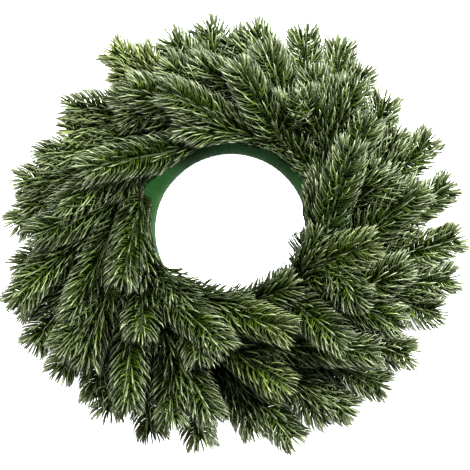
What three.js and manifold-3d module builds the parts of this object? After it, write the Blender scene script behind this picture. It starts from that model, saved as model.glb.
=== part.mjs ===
// Evergreen wreath: fir sprays bound with wire to a tape-wrapped straw ring.
// Millimetres, +Z up. It lies on its flat back with the foliage face upwards.

import * as THREE from "three";
import { mergeVertices } from "three/addons/utils/BufferGeometryUtils.js";
import Module from "manifold-3d";

const wasm = await Module();
wasm.setup();

// ---- ring: a straw ring 250 mm across and 50 mm thick, wrapped in tape ----
const RING_RADIUS = 101; // centre line of the tube
const TUBE_RADIUS = 25;
const TUBE_HEIGHT = 22; // centre of the tube above the flat underside
const RING_SEGMENTS = 42;
const TUBE_SEGMENTS = 12;

// ---- binding wire ----
const WIRE_RADIUS = 0.5;
const WIRE_TURNS = 5; // round the right and the lower part; none crosses the bare tape
const WIRE_START = 378; // degrees round the ring
const WIRE_PITCH = -30;
const WIRE_RUN_X = -91; // the straight run over the left of the ring
const WIRE_RUN_Y = [-70, -36, 0, 38, 75];
const WIRE_RUN_HEIGHT = 70;
const WIRE_RUN_DOWN = 139; // degrees round the ring where it goes down again
const WIRE_LIFT = 1.75; // least height of the wire over the tube
const WIRE_LIFT_MOST = 18; // where stems are in its way
const WIRE_LIFT_STEP = 1.2;
const WIRE_ASIDE = [0, -4, 4, -8, 8]; // degrees round the ring that it may step aside
const WIRE_BED = 0.95; // height of the wire in its grooves under the ring
const WIRE_BED_REACH = 15.6;
// Places of the wire round the tube, in degrees up from its outer side, between
// the grooves under the inner and the outer side.
const WIRE_INNER_FOOT = 233.5;
const WIRE_OUTER_FOOT = -53.5;
const WIRE_CLIMB = [207, 180, 150, 120, 90, 60, 30, 0, -27];
const GROOVE_WIDTH = 2.4;
const GROOVE_DEPTH = 1.8;

// ---- sprays ----
const STEM_SIDES = 3;
const STEM_BUTT_RADIUS = 1.9;
const STEM_TIP_RADIUS = 1.15;
const STEM_POINTS = 25;
const NEEDLE_ROOT = 2.45; // half width of a needle where it leaves the stem
const STEM_BEND = 0.36; // reach of the curve's handles, as a share of its chord
const SEAT_GAP = 0.1;
const GAP = 0.4; // clear space between separate pieces
const BAND_LENGTH = 5.5; // stem between two rows of needles
const RING_TWIST = 74; // degrees from one row to the next
const TWIG_FORK = 0.3; // where a side twig leaves its stem
const TIP_NEEDLE = 14;
const NEEDLE_LENGTH = [20, 26, 25, 18]; // along the stem, from its butt to its tip
const NEEDLE_LEAN = [54, 51, 45, 28]; // degrees off the stem
const LEAN_JITTER = 2;
const SIDE_JITTER = 7;
const NEEDLE_POINT = 0.05; // half width of its end
const FLOOR = 0.6; // least height of a needle's end

// Layers: where the butt sits round the tube (degrees up from its outer side),
// how high the end of the stem stands, how it slopes there, how far it ends short
// of the spray's tip, how much of it is bare at the butt, and how much of it has
// needles at most.
const LAYERS = {
  low: { seat: 12, height: 21, slope: 0, setback: 1, bare: 18, needled: 88 },
  mid: { seat: 66, height: 47, slope: 0.02, setback: 3, bare: 9, needled: 90 },
  top: { seat: 100, height: 68, slope: 0.08, setback: 3, bare: 8, needled: 120 },
  inner: { seat: 122, height: 52, slope: 0, setback: 4, bare: 6, needled: 120 },
};

// Foliage stays off the hole: far off it where the ring shows, less elsewhere.
const HOLE_LIMIT_BARE = 86;
const HOLE_LIMIT_HUNG = 60;
const BARE_FROM = 22; // degrees, counter-clockwise round to BARE_TO
const BARE_TO = 200;
const BARE_BLEND = 18;

// Each spray: layer, tip x and y, and a point x and y on its stem nearer the ring.
// A row with "on" is a side twig of the row that it names; "seat" is a seat of
// its own round the tube.
const SPRAYS = [
  { name: "spray_low_01", layer: "low", tip: [-118, 180], from: [-45, 135] },
  { name: "spray_low_02", layer: "low", tip: [-60, 189], from: [0, 135] },
  { on: "spray_low_02", layer: "low", tip: [-24, 201], from: [32, 140] },
  { name: "spray_low_03", layer: "low", tip: [22, 200], from: [60, 135] },
  { on: "spray_low_03", layer: "low", tip: [2, 191], from: [42, 128] },
  { name: "spray_low_04", layer: "low", tip: [72, 195], from: [80, 120] },
  { name: "spray_low_05", layer: "low", tip: [110, 184], from: [100, 110] },
  { on: "spray_low_05", layer: "low", tip: [129, 158], from: [110, 90] },
  { name: "spray_low_06", layer: "low", tip: [155, 128], from: [135, 70] },
  { name: "spray_low_07", layer: "low", tip: [165, 95], from: [140, 40] },
  { on: "spray_low_07", layer: "low", tip: [198, 89], from: [155, 40] },
  { name: "spray_low_08", layer: "low", tip: [216, 43], from: [165, 5] },
  { name: "spray_low_09", layer: "low", tip: [224, -8], from: [160, -35] },
  { name: "spray_low_10", layer: "low", tip: [219, -48], from: [155, -65] },
  { on: "spray_low_10", layer: "low", tip: [204, -80], from: [145, -85] },
  { name: "spray_low_11", layer: "low", tip: [177, -124], from: [120, -120] },
  { name: "spray_low_12", layer: "low", tip: [150, -156], from: [90, -135] },
  { name: "spray_low_13", layer: "low", tip: [116, -180], from: [60, -150] },
  { on: "spray_low_13", layer: "low", tip: [92, -183], from: [35, -155] },
  { name: "spray_low_14", layer: "low", tip: [61, -208], from: [10, -165] },
  { name: "spray_low_15", layer: "low", tip: [23, -198], from: [-15, -120] },
  { name: "spray_low_16", layer: "low", tip: [-31, -210], from: [-50, -140] },
  { name: "spray_low_17", layer: "low", tip: [-80, -201], from: [-95, -130] },
  { on: "spray_low_17", layer: "low", tip: [-123, -181], from: [-120, -120] },
  { name: "spray_low_18", layer: "low", tip: [-171, -141], from: [-135, -70] },
  { on: "spray_low_18", layer: "low", tip: [-136, -166], from: [-118, -95] },
  { name: "spray_low_19", layer: "low", tip: [-197, -112], from: [-155, -50] },
  { on: "spray_low_19", layer: "low", tip: [-211, -77], from: [-155, -25] },
  { name: "spray_low_20", layer: "low", tip: [-214, -71], from: [-170, -5] },
  { on: "spray_low_20", layer: "low", tip: [-209, -39], from: [-155, 5] },
  { name: "spray_low_21", layer: "low", tip: [-214, 6], from: [-155, 50] },
  { name: "spray_low_22", layer: "low", tip: [-208, 47], from: [-140, 65] },
  { on: "spray_low_22", layer: "low", tip: [-203, 26], from: [-145, 50] },
  { name: "spray_low_23", layer: "low", tip: [-187, 72], from: [-120, 90] },
  { name: "spray_low_24", layer: "low", tip: [-160, 121], from: [-90, 130] },
  { on: "spray_low_24", layer: "low", tip: [-162, 98], from: [-80, 110] },
  { name: "spray_mid_01", layer: "mid", tip: [-62, 164], from: [-15, 125] },
  { name: "spray_mid_02", layer: "mid", tip: [-100, 142], from: [-30, 115] },
  { name: "spray_mid_03", layer: "mid", tip: [35, 180], from: [58, 105] },
  { on: "spray_mid_03", layer: "mid", tip: [-34, 166], from: [22, 118] },
  { name: "spray_mid_04", layer: "mid", tip: [82, 155], from: [90, 90] },
  { on: "spray_mid_04", layer: "top", tip: [72, 132], from: [98, 65] },
  { name: "spray_mid_05", layer: "mid", tip: [100, 145], from: [95, 80] },
  { on: "spray_mid_05", layer: "mid", tip: [120, 145], from: [115, 65] },
  { name: "spray_mid_06", layer: "mid", tip: [135, 108], from: [115, 65] },
  { name: "spray_mid_07", layer: "mid", tip: [142, 62], from: [115, 25] },
  { on: "spray_mid_07", layer: "mid", tip: [160, 50], from: [115, 10] },
  { name: "spray_mid_08", layer: "mid", tip: [187, 40], from: [140, 0] },
  { name: "spray_mid_09", layer: "mid", tip: [172, -38], from: [110, -70] },
  { on: "spray_mid_09", layer: "mid", tip: [166, -90], from: [100, -80] },
  { name: "spray_mid_10", layer: "mid", tip: [142, -120], from: [60, -115] },
  { name: "spray_mid_11", layer: "mid", tip: [53, -155], from: [-5, -115] },
  { name: "spray_mid_12", layer: "mid", tip: [-20, -184], from: [-60, -120] },
  { on: "spray_mid_12", layer: "mid", tip: [-58, -190], from: [-68, -122] },
  { name: "spray_mid_13", layer: "mid", tip: [-102, -174], from: [-102, -100] },
  { name: "spray_mid_14", layer: "mid", tip: [-158, -86], from: [-125, -15] },
  { name: "spray_mid_15", layer: "mid", tip: [-145, -132], from: [-135, -70] },
  { on: "spray_mid_15", layer: "mid", tip: [-168, -118], from: [-130, -70] },
  { name: "spray_mid_16", layer: "mid", tip: [-170, 20], from: [-110, 60] },
  { name: "spray_mid_17", layer: "mid", tip: [-195, -5], from: [-140, 15] },
  { name: "spray_top_01", layer: "top", tip: [-65, 138], from: [0, 110] },
  { name: "spray_top_02", layer: "top", tip: [7, 160], from: [45, 100] },
  { on: "spray_top_02", layer: "top", tip: [58, 132], from: [70, 75] },
  { name: "spray_top_03", layer: "top", seat: 128, tip: [139, -14], from: [70, -42] },
  { on: "spray_top_03", layer: "top", tip: [130, -66], from: [65, -62] },
  { name: "spray_top_04", layer: "top", seat: 126, tip: [55, -100], from: [-15, -72] },
  { name: "spray_top_05", layer: "top", seat: 112, tip: [-8, -116], from: [-50, -72] },
  { name: "spray_top_06", layer: "top", tip: [-30, -128], from: [-35, -80] },
  { name: "spray_top_07", layer: "top", tip: [-90, -102], from: [-85, -50] },
  { name: "spray_top_08", layer: "top", tip: [-108, -50], from: [-90, 40] },
  { name: "spray_top_09", layer: "top", tip: [-144, 58], from: [-30, 98] },
  { name: "spray_top_10", layer: "top", seat: 116, tip: [108, -110], from: [55, -68] },
  { name: "spray_top_11", layer: "top", tip: [118, 82], from: [98, 5] },
  { name: "spray_inner_01", layer: "inner", tip: [-45, -68], from: [-84, -25] },
  { name: "spray_inner_02", layer: "inner", tip: [12, -76], from: [-45, -66] },
  { name: "spray_inner_03", layer: "inner", tip: [60, -55], from: [10, -76] },
  { name: "spray_inner_04", layer: "inner", tip: [86, -5], from: [64, -52] },
  { name: "spray_inner_05", layer: "inner", tip: [92, 52], from: [90, 0] },
  { name: "spray_inner_06", layer: "inner", seat: 86, tip: [-48, 103], from: [30, 92] },
];
// Sprays whose young growth is paler.
const YOUNG = ["spray_top_03", "spray_top_04", "spray_mid_11", "spray_top_02", "spray_mid_01"];

const MATERIALS = {
  foliage: { color: 0x3d5a2a, roughness: 0.62, metalness: 0 },
  young: { color: 0x6f8a3c, roughness: 0.6, metalness: 0 },
  tape: { color: 0x2c5e36, roughness: 0.35, metalness: 0 },
  wire: { color: 0x1f2a1e, roughness: 0.5, metalness: 0.6 },
};

const RAD = Math.PI / 180;
const UP = new THREE.Vector3(0, 0, 1);
const v3 = (x, y, z) => new THREE.Vector3(x, y, z);

// Seeded draws, so that every build is the same.
function seeded(seed) {
  let s = seed >>> 0;
  return () => {
    s = (s + 0x6d2b79f5) >>> 0;
    let t = Math.imul(s ^ (s >>> 15), 1 | s);
    t = (t + Math.imul(t ^ (t >>> 7), 61 | t)) ^ t;
    return ((t ^ (t >>> 14)) >>> 0) / 4294967296;
  };
}

// Value of a list of numbers spread evenly over 0..1.
function along(list, t) {
  const f = Math.min(Math.max(t, 0), 1) * (list.length - 1);
  const i = Math.min(Math.floor(f), list.length - 2);
  return list[i] + (list[i + 1] - list[i]) * (f - i);
}

// A point on a circle round the tube's centre line: turn round the ring, angle
// up from the outer side of the tube, distance from its centre (all degrees, mm).
function tubePoint(turn, up, distance) {
  const r = RING_RADIUS + distance * Math.cos(up * RAD);
  return v3(r * Math.cos(turn * RAD), r * Math.sin(turn * RAD), TUBE_HEIGHT + distance * Math.sin(up * RAD));
}

// A point on a circle round centre, in the plane of its two unit vectors.
function onCircle(centre, side, across, angle, radius) {
  return centre.clone()
    .addScaledVector(side, Math.cos(angle) * radius)
    .addScaledVector(across, Math.sin(angle) * radius);
}

function tubeDistance(p) {
  return Math.hypot(Math.hypot(p.x, p.y) - RING_RADIUS, p.z - TUBE_HEIGHT);
}

function tubeNormal(p) {
  const r = Math.hypot(p.x, p.y);
  const out = r - RING_RADIUS;
  return v3((p.x / r) * out, (p.y / r) * out, p.z - TUBE_HEIGHT).normalize();
}

// ---- stems ----

// The stem of one spray as points from its butt on the ring to its end: a curve
// that leaves the ring along its surface and ends in the heading of the spray.
function stemPoints(row, change) {
  const layer = LAYERS[row.layer];
  const heading = v3(row.tip[0] - row.from[0], row.tip[1] - row.from[1], 0).normalize();
  const end = v3(row.tip[0], row.tip[1], layer.height + change.lift).addScaledVector(heading, -layer.setback);
  let start = change.fork;
  let leave;
  if (start) {
    leave = change.forkHeading.clone().lerp(heading, 0.5).normalize();
  } else {
    const seat = (row.seat || layer.seat) + change.seat;
    const reach = TUBE_RADIUS + STEM_BUTT_RADIUS + SEAT_GAP;
    const wanted = RING_RADIUS + reach * Math.cos(seat * RAD);
    let best = Infinity;
    let turn = 0;
    for (let back = 0; back <= 45; back += 1.5) {
      const x = row.from[0] - heading.x * back;
      const y = row.from[1] - heading.y * back;
      const off = Math.abs(Math.hypot(x, y) - wanted) + back * 0.02;
      if (off < best) {
        best = off;
        turn = Math.atan2(y, x) / RAD;
      }
    }
    start = tubePoint(turn + change.turn, seat, reach);
    const normal = tubeNormal(start);
    leave = heading.clone().addScaledVector(normal, 0.12 - heading.dot(normal)).normalize();
  }
  const span = end.distanceTo(start) * STEM_BEND;
  const arrive = heading.clone().addScaledVector(UP, layer.slope).normalize();
  const curve = new THREE.CubicBezierCurve3(
    start, start.clone().addScaledVector(leave, span), end.clone().addScaledVector(arrive, -span), end);
  const points = [];
  for (let i = 0; i < STEM_POINTS; i++) {
    const p = curve.getPoint(i / (STEM_POINTS - 1));
    const keep = TUBE_RADIUS + STEM_BUTT_RADIUS + SEAT_GAP;
    const d = tubeDistance(p);
    if (d < keep) p.addScaledVector(tubeNormal(p), keep - d);
    points.push(p);
  }
  return points;
}

// Smallest distance between the points of a stem and those already placed.
function stemClearance(points, placed, skip) {
  let least = Infinity;
  for (const other of placed) {
    const from = other === skip ? 9 : 0;
    for (let i = from; i < points.length; i++) {
      for (const q of other.points) least = Math.min(least, points[i].distanceToSquared(q));
    }
  }
  return Math.sqrt(least);
}

// Stems are laid one after another; each takes the lift and the seat that keep
// it furthest from the stems below it without leaving its place.
const LIFTS = [0, 4, -4, 8, -8, 12];
const TURNS = [0, 3, -3, 6, -6];
const SEATS = [0, 9, -9, 18, -18];
const ROOM = 13;

function layStems() {
  const placed = [];
  for (const row of SPRAYS) {
    const main = row.on && placed.find((s) => s.row.name === row.on);
    let best = null;
    for (const lift of LIFTS) {
      if (row.layer === "low" && lift < 0) continue;
      for (const turn of main ? [0] : TURNS) {
        for (const seat of main ? [0] : SEATS) {
          const change = { lift, turn, seat };
          if (main) {
            const k = Math.round(TWIG_FORK * (STEM_POINTS - 1));
            change.fork = main.points[k].clone();
            change.forkHeading = main.points[k + 1].clone().sub(main.points[k]).normalize();
          }
          const points = stemPoints(row, change);
          const clear = Math.min(stemClearance(points, placed, main), ROOM);
          const score = clear - Math.abs(lift) * 0.3 - Math.abs(turn) * 0.21 - Math.abs(seat) * 0.07;
          if (!best || score > best.score) best = { points, score };
        }
      }
    }
    placed.push({ row, main, points: best.points });
  }
  return placed;
}

// ---- room between pieces ----

// Closest approach of two straight tapered pieces, less their radii.
function approach(a, b) {
  const d1 = b0.subVectors(a.q, a.p);
  const d2 = b1.subVectors(b.q, b.p);
  const r = b2.subVectors(a.p, b.p);
  const aa = d1.dot(d1);
  const ee = d2.dot(d2);
  const f = d2.dot(r);
  const c = d1.dot(r);
  const bb = d1.dot(d2);
  const den = aa * ee - bb * bb;
  const clamp = (x) => Math.min(Math.max(x, 0), 1);
  let s = den > 1e-9 ? clamp((bb * f - c * ee) / den) : 0;
  let t = (bb * s + f) / ee;
  if (t < 0) {
    t = 0;
    s = clamp(-c / aa);
  } else if (t > 1) {
    t = 1;
    s = clamp((bb - c) / aa);
  }
  const x = r.x + d1.x * s - d2.x * t;
  const y = r.y + d1.y * s - d2.y * t;
  const z = r.z + d1.z * s - d2.z * t;
  return Math.hypot(x, y, z) - (a.rp + (a.rq - a.rp) * s) - (b.rp + (b.rq - b.rp) * t);
}
const b0 = v3(0, 0, 0);
const b1 = v3(0, 0, 0);
const b2 = v3(0, 0, 0);

// Everything that is already placed, filed by the cells that it passes through.
const CELL = 10;
const cells = new Map();
function cellsOf(item, visit) {
  const lo = item.p.clone().min(item.q).addScalar(-2.5).divideScalar(CELL).floor();
  const hi = item.p.clone().max(item.q).addScalar(2.5).divideScalar(CELL).floor();
  for (let x = lo.x; x <= hi.x; x++) {
    for (let y = lo.y; y <= hi.y; y++) {
      for (let z = lo.z; z <= hi.z; z++) visit(`${x},${y},${z}`);
    }
  }
}
function file(item) {
  cellsOf(item, (key) => {
    if (!cells.has(key)) cells.set(key, []);
    cells.get(key).push(item);
  });
}
function isClear(item, isNeighbour) {
  const seen = new Set();
  let clear = true;
  cellsOf(item, (key) => {
    if (!clear) return;
    for (const other of cells.get(key) || []) {
      if (seen.has(other)) continue;
      seen.add(other);
      const same = other.owner === item.owner;
      if (same && (isNeighbour(other) || other.stem)) continue;
      const gap = approach(item, other);
      if (gap < (same ? -0.25 * (item.rp + other.rp) : GAP)) {
        clear = false;
        return;
      }
    }
  });
  return clear;
}

function holeLimit(p) {
  let turn = Math.atan2(p.y, p.x) / RAD;
  if (turn < 0) turn += 360;
  const into = Math.min(turn - BARE_FROM, BARE_TO - turn) / BARE_BLEND + 1;
  const t = Math.min(Math.max(into, 0), 1);
  return HOLE_LIMIT_HUNG + (HOLE_LIMIT_BARE - HOLE_LIMIT_HUNG) * t * t * (3 - 2 * t);
}

// ---- closed bodies ----

function bodyFrom(points, triangles) {
  const geometry = new THREE.BufferGeometry();
  const numbers = points.flatMap((p) => [p.x, p.y, p.z]);
  geometry.setAttribute("position", new THREE.Float32BufferAttribute(numbers, 3));
  geometry.setIndex(triangles.flat());
  return geometry;
}

function solidFrom(geometry) {
  const bare = geometry.clone();
  bare.deleteAttribute("normal");
  bare.deleteAttribute("uv");
  const merged = mergeVertices(bare, 1e-4);
  return new wasm.Manifold(new wasm.Mesh({
    numProp: 3,
    vertProperties: new Float32Array(merged.attributes.position.array),
    triVerts: new Uint32Array(merged.index.array),
  }));
}

function geometryFrom(solid) {
  const mesh = solid.getMesh();
  const geometry = new THREE.BufferGeometry();
  geometry.setAttribute("position", new THREE.BufferAttribute(new Float32Array(mesh.vertProperties), 3));
  geometry.setIndex(new THREE.BufferAttribute(new Uint32Array(mesh.triVerts), 1));
  return geometry;
}

// ---- spray: a stem whose facets are raised to needles ----

// Stem rows: evenly spaced rings of corners along the points, each turned from
// the last, so that the facets between two rows point every way.
function stemRows(stem, number) {
  const { points, main } = stem;
  const lengths = [0];
  for (let i = 1; i < points.length; i++) lengths.push(lengths[i - 1] + points[i].distanceTo(points[i - 1]));
  const total = lengths[lengths.length - 1];
  const at = (s) => {
    let i = 1;
    while (i < lengths.length - 1 && lengths[i] < s) i++;
    const t = (s - lengths[i - 1]) / (lengths[i] - lengths[i - 1]);
    return points[i - 1].clone().lerp(points[i], t);
  };
  const bare = Math.max(LAYERS[stem.row.layer].bare, total - LAYERS[stem.row.layer].needled);
  const bands = Math.round((total - bare) / BAND_LENGTH);
  const stations = main ? [0, bare] : [0, bare / 2, bare];
  const bareBands = stations.length - 1;
  for (let i = 1; i <= bands; i++) stations.push(bare + ((total - bare) * i) / bands);
  const rows = [];
  let side = null;
  stations.forEach((s, k) => {
    const centre = at(s);
    const tangent = at(Math.min(s + 1.5, total)).sub(at(Math.max(s - 1.5, 0))).normalize();
    if (!side) side = tubeNormal(centre).negate();
    side = side.clone().addScaledVector(tangent, -side.dot(tangent)).normalize();
    const across = tangent.clone().cross(side);
    const radius = STEM_BUTT_RADIUS + (STEM_TIP_RADIUS - STEM_BUTT_RADIUS) * (s / total);
    const corners = [];
    for (let j = 0; j < STEM_SIDES; j++) {
      const angle = (k * RING_TWIST + (360 / STEM_SIDES) * j + (main ? number * 31 : 0)) * RAD;
      corners.push(onCircle(centre, side, across, angle, radius));
    }
    rows.push({ centre, tangent, radius, corners });
  });
  return { rows, bareBands, bands };
}

// Facets of the stem, each with its place, its outward direction and its
// neighbours across its three edges.
function stemFacets(stem) {
  const { rows, bareBands, bands } = stem.shape;
  const points = rows.flatMap((r) => r.corners);
  const facets = [];
  const corner = (k, j) => k * STEM_SIDES + (((j % STEM_SIDES) + STEM_SIDES) % STEM_SIDES);
  for (let k = 0; k < rows.length - 1; k++) {
    for (let j = 0; j < STEM_SIDES; j++) {
      facets.push({ band: k, tri: [corner(k, j), corner(k, j + 1), corner(k + 1, j)] });
      facets.push({ band: k, tri: [corner(k + 1, j), corner(k, j + 1), corner(k + 1, j + 1)] });
    }
  }
  facets.forEach((facet, i) => {
    const [a, b, c] = facet.tri.map((n) => points[n]);
    facet.middle = a.clone().add(b).add(c).divideScalar(3);
    const row = rows[facet.band];
    const next = rows[facet.band + 1];
    facet.tangent = next.centre.clone().sub(row.centre).normalize();
    const axis = row.centre.clone().add(next.centre).multiplyScalar(0.5);
    facet.out = facet.middle.clone().sub(axis);
    facet.out.addScaledVector(facet.tangent, -facet.out.dot(facet.tangent)).normalize();
    facet.t = (facet.band - bareBands + 0.5) / bands;
    facet.raised = facet.band >= bareBands && (i + Math.floor(i / 6)) % 3 !== 0;
    facet.apex = null;
  });
  const edges = new Map();
  facets.forEach((facet) => {
    facet.tri.forEach((a, n) => edges.set(`${a}_${facet.tri[(n + 1) % 3]}`, facet));
  });
  facets.forEach((facet) => {
    facet.across = facet.tri.map((a, n) => edges.get(`${facet.tri[(n + 1) % 3]}_${a}`));
  });
  return { points, facets };
}

// True where the sides of two needles that share an edge don't cross.
function opensFrom(stem, facet, apex) {
  return facet.tri.every((a, n) => {
    const other = facet.across[n];
    if (!other) return true;
    const p = stem.points3[a];
    const q = stem.points3[facet.tri[(n + 1) % 3]];
    const far = other.apex || stem.points3[other.tri.find((m) => m !== a && m !== facet.tri[(n + 1) % 3])];
    const face = q.clone().sub(p).cross(apex.clone().sub(p)).normalize();
    return face.dot(far.clone().sub(p)) > 0.02;
  });
}

// What a needle tries in turn until it is clear of the others: more lean and turn
// in degrees, and a share of its length.
const BENDS = [
  [0, 0, 1], [0, 9, 1], [0, -9, 1], [-5, 0, 1], [5, 0, 1], [0, 17, 1], [0, -17, 1], [-9, 8, 1], [-9, -8, 1],
  [0, 0, 0.82], [0, 12, 0.82], [0, -12, 0.82], [-10, 0, 0.82], [0, 22, 0.82], [0, -22, 0.82],
  [0, 0, 0.64], [0, 14, 0.64], [0, -14, 0.64], [-12, 0, 0.64],
  [0, 0, 0.48], [0, 16, 0.48], [0, -16, 0.48], [-12, 0, 0.48],
];

function growNeedle(stem, facet) {
  const length = along(NEEDLE_LENGTH, facet.t);
  const lean = along(NEEDLE_LEAN, facet.t) + (stem.draw() * 2 - 1) * LEAN_JITTER;
  const turn = (stem.draw() * 2 - 1) * SIDE_JITTER;
  const scale = 0.92 + stem.draw() * 0.16;
  const aside = facet.tangent.clone().cross(facet.out);
  for (const [moreLean, moreTurn, share] of BENDS) {
    const a = (lean + moreLean) * RAD;
    const b = (turn + moreTurn) * RAD;
    const away = facet.out.clone().multiplyScalar(Math.cos(b)).addScaledVector(aside, Math.sin(b));
    const apex = facet.middle.clone()
      .addScaledVector(facet.tangent, Math.cos(a) * length * scale * share)
      .addScaledVector(away, Math.sin(a) * length * scale * share);
    if (apex.z < FLOOR || Math.hypot(apex.x, apex.y) < holeLimit(apex)) continue;
    const needle = { p: facet.middle, q: apex, rp: NEEDLE_ROOT, rq: NEEDLE_POINT, owner: stem, facet };
    let off = true;
    for (let k = 1; k <= 6 && off; k++) {
      const p = facet.middle.clone().lerp(apex, k / 6);
      off = tubeDistance(p) > TUBE_RADIUS + 0.25 + NEEDLE_ROOT * (1 - k / 6) * 0.7;
    }
    if (!off || !opensFrom(stem, facet, apex)) continue;
    const near = (other) => other.facet && Math.abs(other.facet.band - facet.band) <= 1;
    if (!isClear(needle, near)) continue;
    facet.apex = apex;
    file(needle);
    return;
  }
}

function sprayGeometry(stem) {
  const { points3, facets } = stem;
  const points = points3.slice();
  const triangles = [];
  for (const facet of facets) {
    if (facet.apex) {
      const n = points.push(facet.apex) - 1;
      facet.tri.forEach((a, i) => triangles.push([a, facet.tri[(i + 1) % 3], n]));
    } else {
      triangles.push(facet.tri);
    }
  }
  triangles.push([2, 1, 0]);
  const last = points3.length - STEM_SIDES;
  const end = stem.shape.rows[stem.shape.rows.length - 1];
  const bud = points.push(end.centre.clone().addScaledVector(end.tangent, TIP_NEEDLE)) - 1;
  for (let j = 0; j < 3; j++) triangles.push([last + j, last + ((j + 1) % 3), bud]);
  return bodyFrom(points, triangles);
}

// ---- binding wire ----

// Places that the wire passes, each with a few heights to choose from.
function wirePlaces() {
  const places = [];
  const bed = (turn, out) => {
    const r = RING_RADIUS + out;
    return [v3(r * Math.cos(turn * RAD), r * Math.sin(turn * RAD), WIRE_BED)];
  };
  const over = (turn, up) => {
    const choice = [];
    for (const aside of WIRE_ASIDE) {
      for (let d = WIRE_LIFT; d < WIRE_LIFT_MOST; d += WIRE_LIFT_STEP) {
        choice.push(tubePoint(turn + aside, up, TUBE_RADIUS + d));
      }
    }
    return choice;
  };
  const grooves = [];
  const turnAt = (i, up) => WIRE_START + WIRE_PITCH * (i + (270 - up) / 360);
  let before = bed(turnAt(0, 268), 3);
  for (let i = 0; i <= WIRE_TURNS; i++) {
    const inner = bed(turnAt(i, WIRE_INNER_FOOT), -WIRE_BED_REACH);
    places.push(before, inner);
    grooves.push([before[0], inner[0]]);
    for (const up of WIRE_CLIMB) {
      if (i < WIRE_TURNS || up >= 90) places.push(over(turnAt(i, up), up));
    }
    before = bed(turnAt(i, WIRE_OUTER_FOOT), WIRE_BED_REACH);
  }
  for (const y of WIRE_RUN_Y) {
    const choice = [];
    for (let z = WIRE_RUN_HEIGHT; z < WIRE_RUN_HEIGHT + 30; z += 1.5) choice.push(v3(WIRE_RUN_X, y, z));
    places.push(choice);
  }
  for (const up of [30, 0, -27]) places.push(over(WIRE_RUN_DOWN + (30 - up) * 0.06, up));
  const foot = bed(WIRE_RUN_DOWN + 5, WIRE_BED_REACH);
  const stub = bed(WIRE_RUN_DOWN + 7, 4);
  places.push(foot, stub);
  grooves.push([foot[0], stub[0]]);
  return { places, grooves };
}

// The shortest chain of places whose straight pieces are clear of every stem.
function wirePath(places) {
  const clearRun = (p, q) => {
    const piece = { p, q, rp: WIRE_RADIUS + 0.15, rq: WIRE_RADIUS + 0.15, owner: "wire" };
    return isClear(piece, () => false);
  };
  let costs = places[0].map(() => 0);
  const back = [];
  for (let i = 1; i < places.length; i++) {
    const next = places[i].map(() => Infinity);
    const from = places[i].map(() => -1);
    places[i].forEach((q, n) => {
      places[i - 1].forEach((p, m) => {
        if (costs[m] === Infinity) return;
        const cost = costs[m] + p.distanceTo(q) + 0.02 * n;
        if (cost < next[n] && clearRun(p, q)) {
          next[n] = cost;
          from[n] = m;
        }
      });
    });
    costs = next;
    back.push(from);
  }
  let n = costs.indexOf(Math.min(...costs));
  const path = [];
  for (let i = places.length - 1; i >= 0; i--) {
    path.unshift(places[i][n]);
    if (i > 0) n = back[i - 1][n];
  }
  return path;
}

// A square-sectioned wire along straight pieces, mitred where they meet.
function wireGeometry(path) {
  const points = [];
  const triangles = [];
  let side = null;
  path.forEach((p, i) => {
    const into = i > 0 ? p.clone().sub(path[i - 1]).normalize() : null;
    const out = i < path.length - 1 ? path[i + 1].clone().sub(p).normalize() : null;
    const tangent = (into || out).clone().add(out || into).normalize();
    if (!side) side = tangent.clone().cross(UP).normalize();
    side = side.clone().addScaledVector(tangent, -side.dot(tangent)).normalize();
    const across = tangent.clone().cross(side);
    for (let j = 0; j < 4; j++) {
      const a = (j + 0.5) * 90 * RAD;
      points.push(onCircle(p, side, across, a, WIRE_RADIUS));
    }
    if (i === 0) return;
    for (let j = 0; j < 4; j++) {
      const a = (i - 1) * 4 + j;
      const b = (i - 1) * 4 + ((j + 1) % 4);
      triangles.push([a, b, a + 4], [a + 4, b, b + 4]);
    }
  });
  const e = points.length - 4;
  triangles.push([0, 2, 1], [0, 3, 2], [e, e + 1, e + 2], [e, e + 2, e + 3]);
  return bodyFrom(points, triangles);
}

// ---- ring ----

function ringGeometry(grooves) {
  const flat = Math.asin(TUBE_HEIGHT / TUBE_RADIUS);
  const sweep = Math.PI + 2 * flat;
  const profile = [];
  for (let i = 0; i <= TUBE_SEGMENTS; i++) {
    const a = -flat + (sweep * i) / TUBE_SEGMENTS;
    const height = TUBE_HEIGHT + TUBE_RADIUS * Math.sin(a);
    profile.push(new THREE.Vector2(RING_RADIUS + TUBE_RADIUS * Math.cos(a), height));
  }
  profile[0].y = 0;
  profile[TUBE_SEGMENTS].y = 0;
  profile.push(profile[0].clone());
  const lathe = new THREE.LatheGeometry(profile, RING_SEGMENTS);
  lathe.rotateX(Math.PI / 2);
  let ring = solidFrom(lathe);
  for (const [a, b] of grooves) {
    const length = a.distanceTo(b) + 4;
    const box = new THREE.BoxGeometry(length, GROOVE_WIDTH, GROOVE_DEPTH * 2);
    box.rotateZ(Math.atan2(b.y - a.y, b.x - a.x));
    box.translate((a.x + b.x) / 2, (a.y + b.y) / 2, 0);
    ring = ring.subtract(solidFrom(box));
  }
  return geometryFrom(ring);
}

// ---- the wreath ----

const stems = layStems();
stems.forEach((stem, number) => {
  stem.draw = seeded(977 + number * 131);
  stem.shape = stemRows(stem, number);
  const { points, facets } = stemFacets(stem);
  stem.points3 = points;
  stem.facets = facets;
  const rows = stem.shape.rows;
  const fileStem = (p, q, rp, rq) => file({ p, q, rp, rq, owner: stem, stem: true });
  for (let k = 1; k < rows.length; k++) {
    fileStem(rows[k - 1].centre, rows[k].centre, rows[k - 1].radius, rows[k].radius);
  }
  const end = rows[rows.length - 1];
  const point = end.centre.clone().addScaledVector(end.tangent, TIP_NEEDLE);
  fileStem(end.centre, point, STEM_TIP_RADIUS, NEEDLE_POINT);
});

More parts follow.
